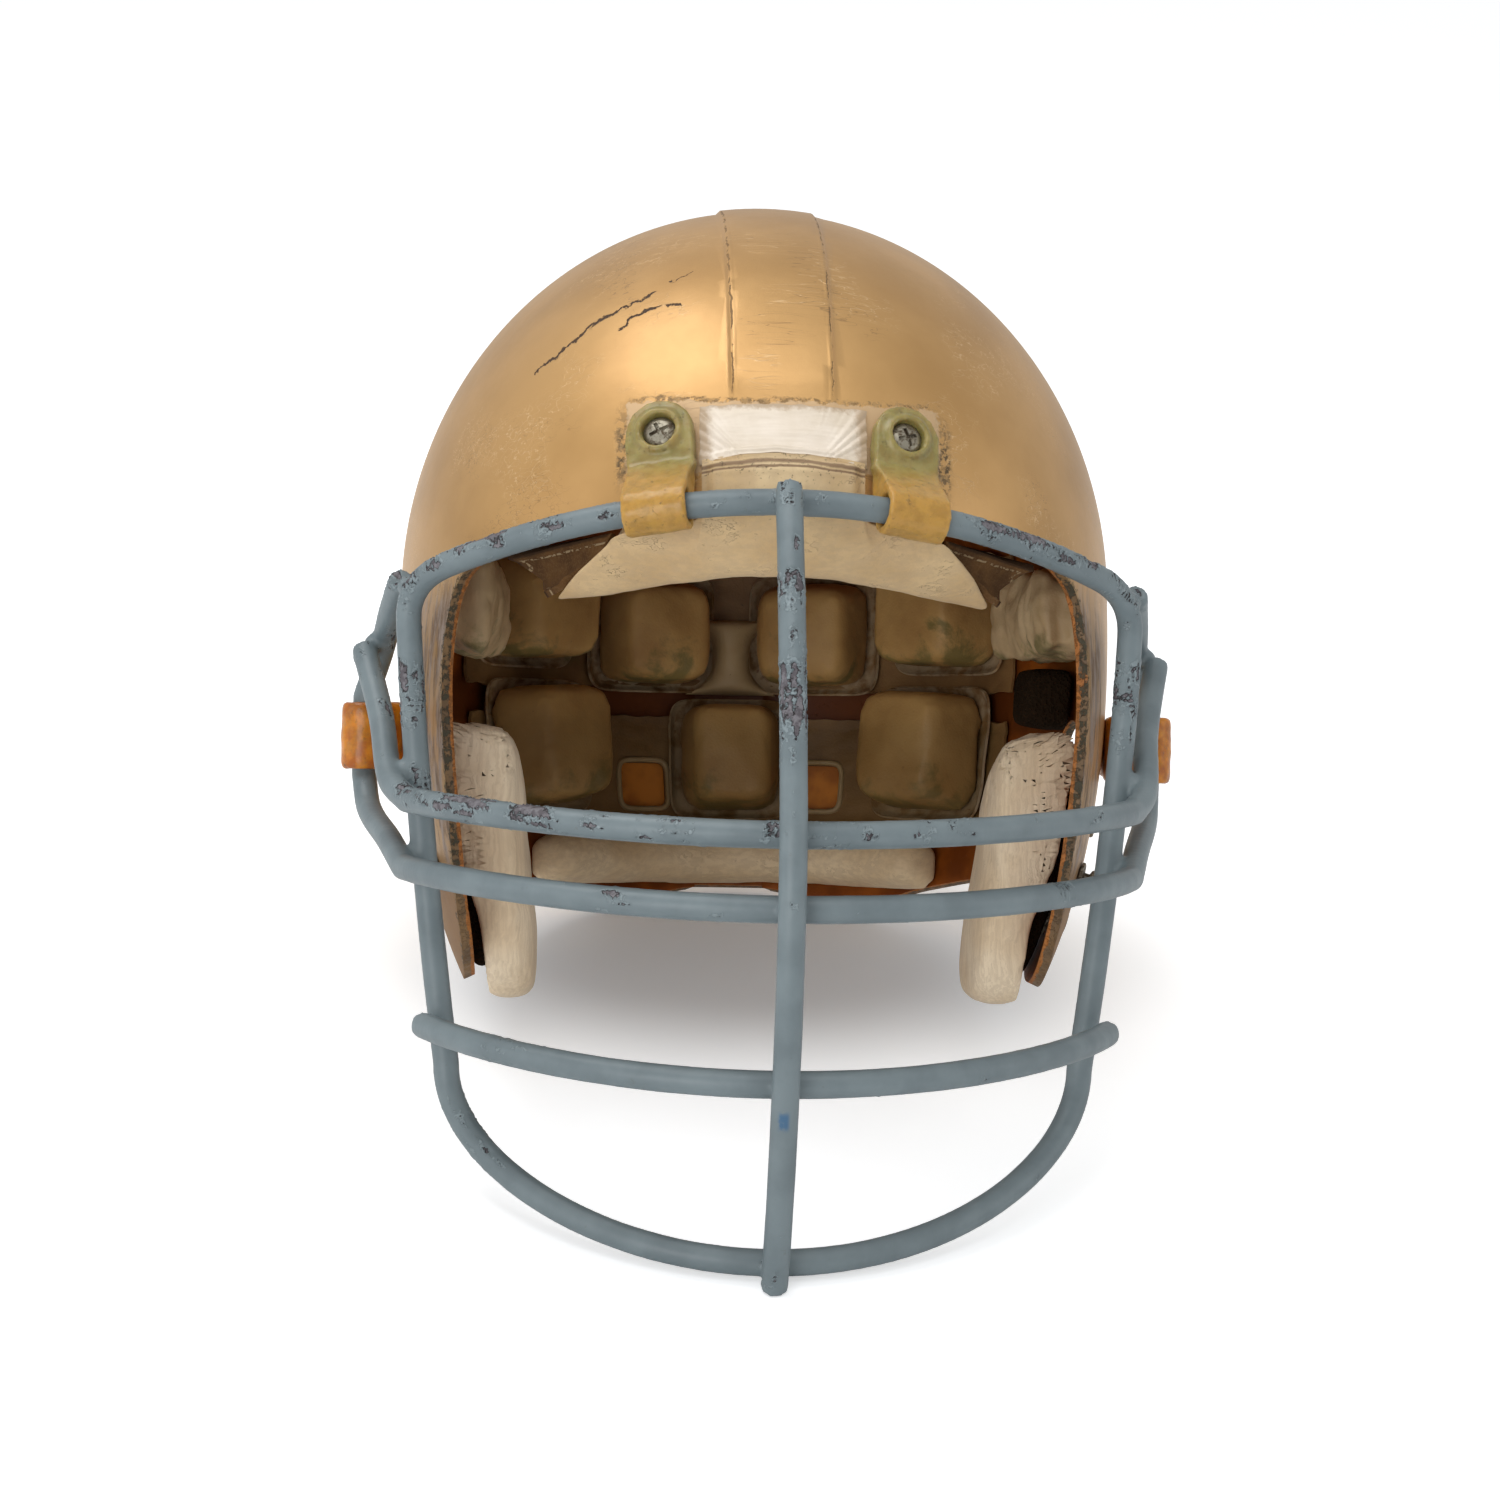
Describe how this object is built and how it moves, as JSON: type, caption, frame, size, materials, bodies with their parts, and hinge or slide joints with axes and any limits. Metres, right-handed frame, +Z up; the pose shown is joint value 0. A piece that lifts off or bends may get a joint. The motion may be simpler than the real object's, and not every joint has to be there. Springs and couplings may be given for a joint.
{
  "type": "football helmet",
  "caption": "Football helmet: moulded shell with ear holes and padded liner, a welded wire face mask held by loop straps, and snap-in jaw pads that pull off inward.",
  "frame": {"origin": "on the table under the middle of the helmet's bounding box, with the helmet standing tipped back on the mask's foot and the shell's nape", "axes": "-Y towards whoever faces the helmet, +X to that person's right, +Z up"},
  "size_m": [0.2736, 0.3718, 0.2779],
  "materials": {
    "shell": "moulded plastic under worn metallic gold paint",
    "mask_wire": "welded steel wire dipped in chipped blue grey vinyl",
    "steel_fastener": "tarnished plated steel",
    "snap_metal": "dull plated snap hardware",
    "clear_strap": "yellowed clear plastic",
    "amber_strap": "orange amber clear plastic",
    "brow_strip": "blank white film",
    "pad_leather": "creased cream leather over foam",
    "suede_tab": "brown suede",
    "dark_foam": "dark closed cell foam",
    "vinyl_cell": "tan brown vinyl over foam",
    "vinyl_sheet": "wrinkled thin vinyl"
  },
  "bodies": {
    "helmet": {"chin_strap_stud_left": "snap_metal", "chin_strap_stud_right": "snap_metal", "crown_cell_1": "vinyl_cell", "crown_cell_2": "vinyl_cell", "crown_cell_3": "vinyl_cell", "crown_cell_4": "vinyl_cell", "crown_cell_5": "vinyl_cell", "crown_cell_6": "vinyl_cell", "crown_cell_7": "vinyl_cell", "foam_block": "dark_foam", "front_pad": "pad_leather", "front_pad_tab_left": "suede_tab", "front_pad_tab_right": "suede_tab", "front_strap_left": "clear_strap", "front_strap_left_screw": "steel_fastener", "front_strap_left_tee_nut": "steel_fastener", "front_strap_right": "clear_strap", "front_strap_right_screw": "steel_fastener", "front_strap_right_tee_nut": "steel_fastener", "front_strip": "brow_strip", "jaw_snap_left_lower": "snap_metal", "jaw_snap_left_upper": "snap_metal", "jaw_snap_right_lower": "snap_metal", "jaw_snap_right_upper": "snap_metal", "liner_cell_back": "vinyl_cell", "liner_cell_lower_left": "vinyl_cell", "liner_cell_lower_right": "vinyl_cell", "liner_cell_side_left": "vinyl_cell", "liner_cell_side_right": "vinyl_cell", "liner_cell_upper_left": "vinyl_cell", "liner_cell_upper_right": "vinyl_cell", "liner_crown_sheet": "vinyl_sheet", "liner_lower_sheet": "vinyl_sheet", "liner_upper_sheet": "vinyl_sheet", "mask_face_bar": "mask_wire", "mask_hoop": "mask_wire", "mask_lower_cross_bar": "mask_wire", "mask_middle_cross_bar": "mask_wire", "mask_upper_cross_bar": "mask_wire", "neck_pad": "pad_leather", "shell": "shell", "side_strap_left": "amber_strap", "side_strap_left_screw": "steel_fastener", "side_strap_left_tee_nut": "steel_fastener", "side_strap_right": "amber_strap", "side_strap_right_screw": "steel_fastener", "side_strap_right_tee_nut": "steel_fastener", "temple_pad_left": "vinyl_sheet", "temple_pad_right": "vinyl_sheet"},
    "jaw_pad_left": {"jaw_pad_left_base": "dark_foam", "jaw_pad_left_cushion": "pad_leather"},
    "jaw_pad_right": {"jaw_pad_right_base": "dark_foam", "jaw_pad_right_cushion": "pad_leather"}
  },
  "joints": [
    {"name": "jaw_pad_left_unsnap", "type": "slide", "parent": "helmet", "child": "jaw_pad_left", "axis": [1, 0, 0], "range_m": [0, 0.008]},
    {"name": "jaw_pad_right_unsnap", "type": "slide", "parent": "helmet", "child": "jaw_pad_right", "axis": [-1, 0, 0], "range_m": [0, 0.008]}
  ]
}
